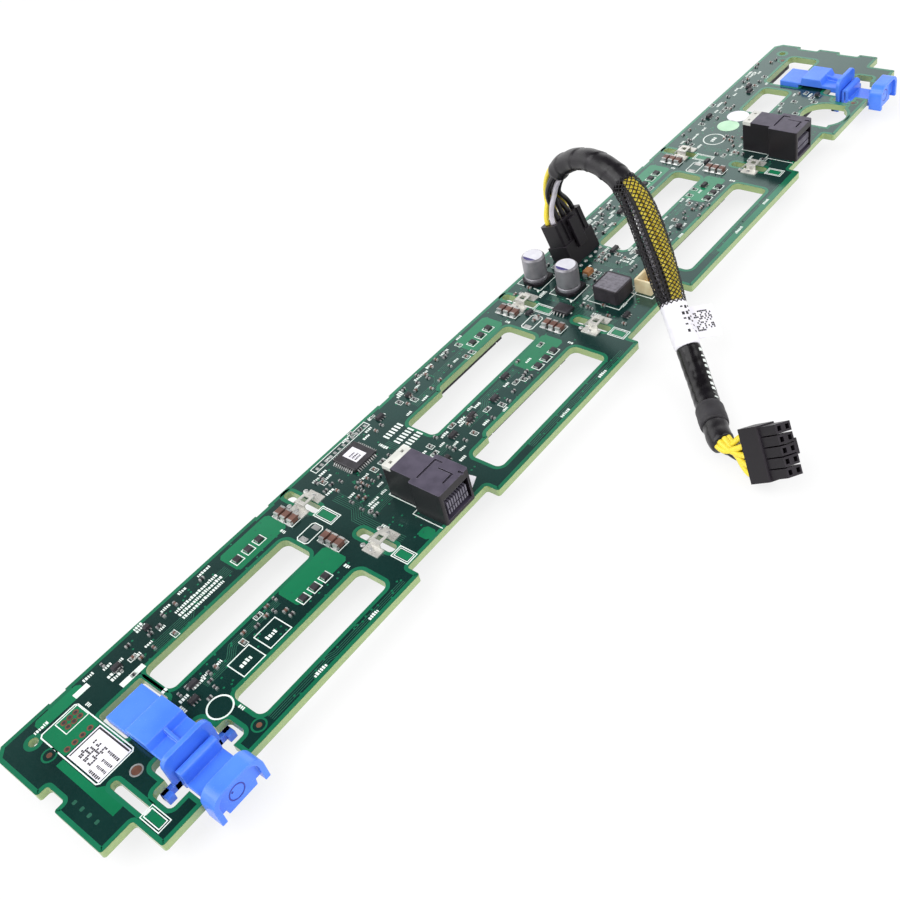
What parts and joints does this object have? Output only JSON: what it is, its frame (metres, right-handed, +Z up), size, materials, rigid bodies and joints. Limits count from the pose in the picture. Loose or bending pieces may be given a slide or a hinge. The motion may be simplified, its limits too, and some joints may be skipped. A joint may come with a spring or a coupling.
{
  "type": "drive backplane board",
  "caption": "Long server drive backplane board with drive receptacles below, two storage ports, blue spring latches and a sleeved cable.",
  "frame": {"origin": "centre of the footprint of the board with its latches, on the surface that the drive receptacles rest on", "axes": "+X along the board away from the end with the notch and the label, +Y across the board from its latch edge to its straight edge, +Z up from the receptacles to the populated face"},
  "size_m": [0.407, 0.1258, 0.0555],
  "materials": {
    "solder_mask": "glossy",
    "blue_moulding": "satin",
    "black_moulding": "satin",
    "white_moulding": "satin",
    "cream_moulding": "satin",
    "contact_metal": "polished",
    "can_metal": "satin",
    "clip_metal": "satin",
    "tin": "satin",
    "ceramic_body": "satin",
    "ferrite": "matte",
    "cable_sleeve": "matte",
    "wire_yellow": "satin"
  },
  "bodies": {
    "root": {"board": "solder_mask", "drive_receptacle_low_1": "black_moulding", "drive_receptacle_high_1": "black_moulding", "drive_receptacle_low_2": "black_moulding", "drive_receptacle_high_2": "black_moulding", "drive_receptacle_low_3": "black_moulding", "drive_receptacle_high_3": "black_moulding", "drive_receptacle_low_4": "black_moulding", "drive_receptacle_high_4": "black_moulding", "latch_left": "blue_moulding", "latch_right": "blue_moulding", "storage_port_near": "black_moulding", "port_rear_cap_near": "white_moulding", "port_insert_near": "black_moulding", "storage_port_far": "black_moulding", "port_rear_cap_far": "white_moulding", "port_insert_far": "black_moulding", "capacitor_can_1": "can_metal", "capacitor_base_1": "black_moulding", "capacitor_can_2": "can_metal", "capacitor_base_2": "black_moulding", "ground_clip_low_1": "clip_metal", "ground_clip_high_1": "clip_metal", "ground_clip_low_2": "clip_metal", "ground_clip_high_2": "clip_metal", "ground_clip_low_3": "clip_metal", "ground_clip_high_3": "clip_metal", "cable_header": "black_moulding", "cable_plug": "black_moulding", "power_inductor": "ferrite", "option_header": "cream_moulding", "option_header_pins": "contact_metal", "controller_chip": "black_moulding", "controller_legs": "tin", "driver_chip": "black_moulding", "driver_legs": "tin", "ceramic_capacitors": "ceramic_body", "framed_parts": "black_moulding", "cable": "cable_sleeve", "cable_tail": "wire_yellow", "end_connector": "black_moulding"}
  },
  "joints": []
}
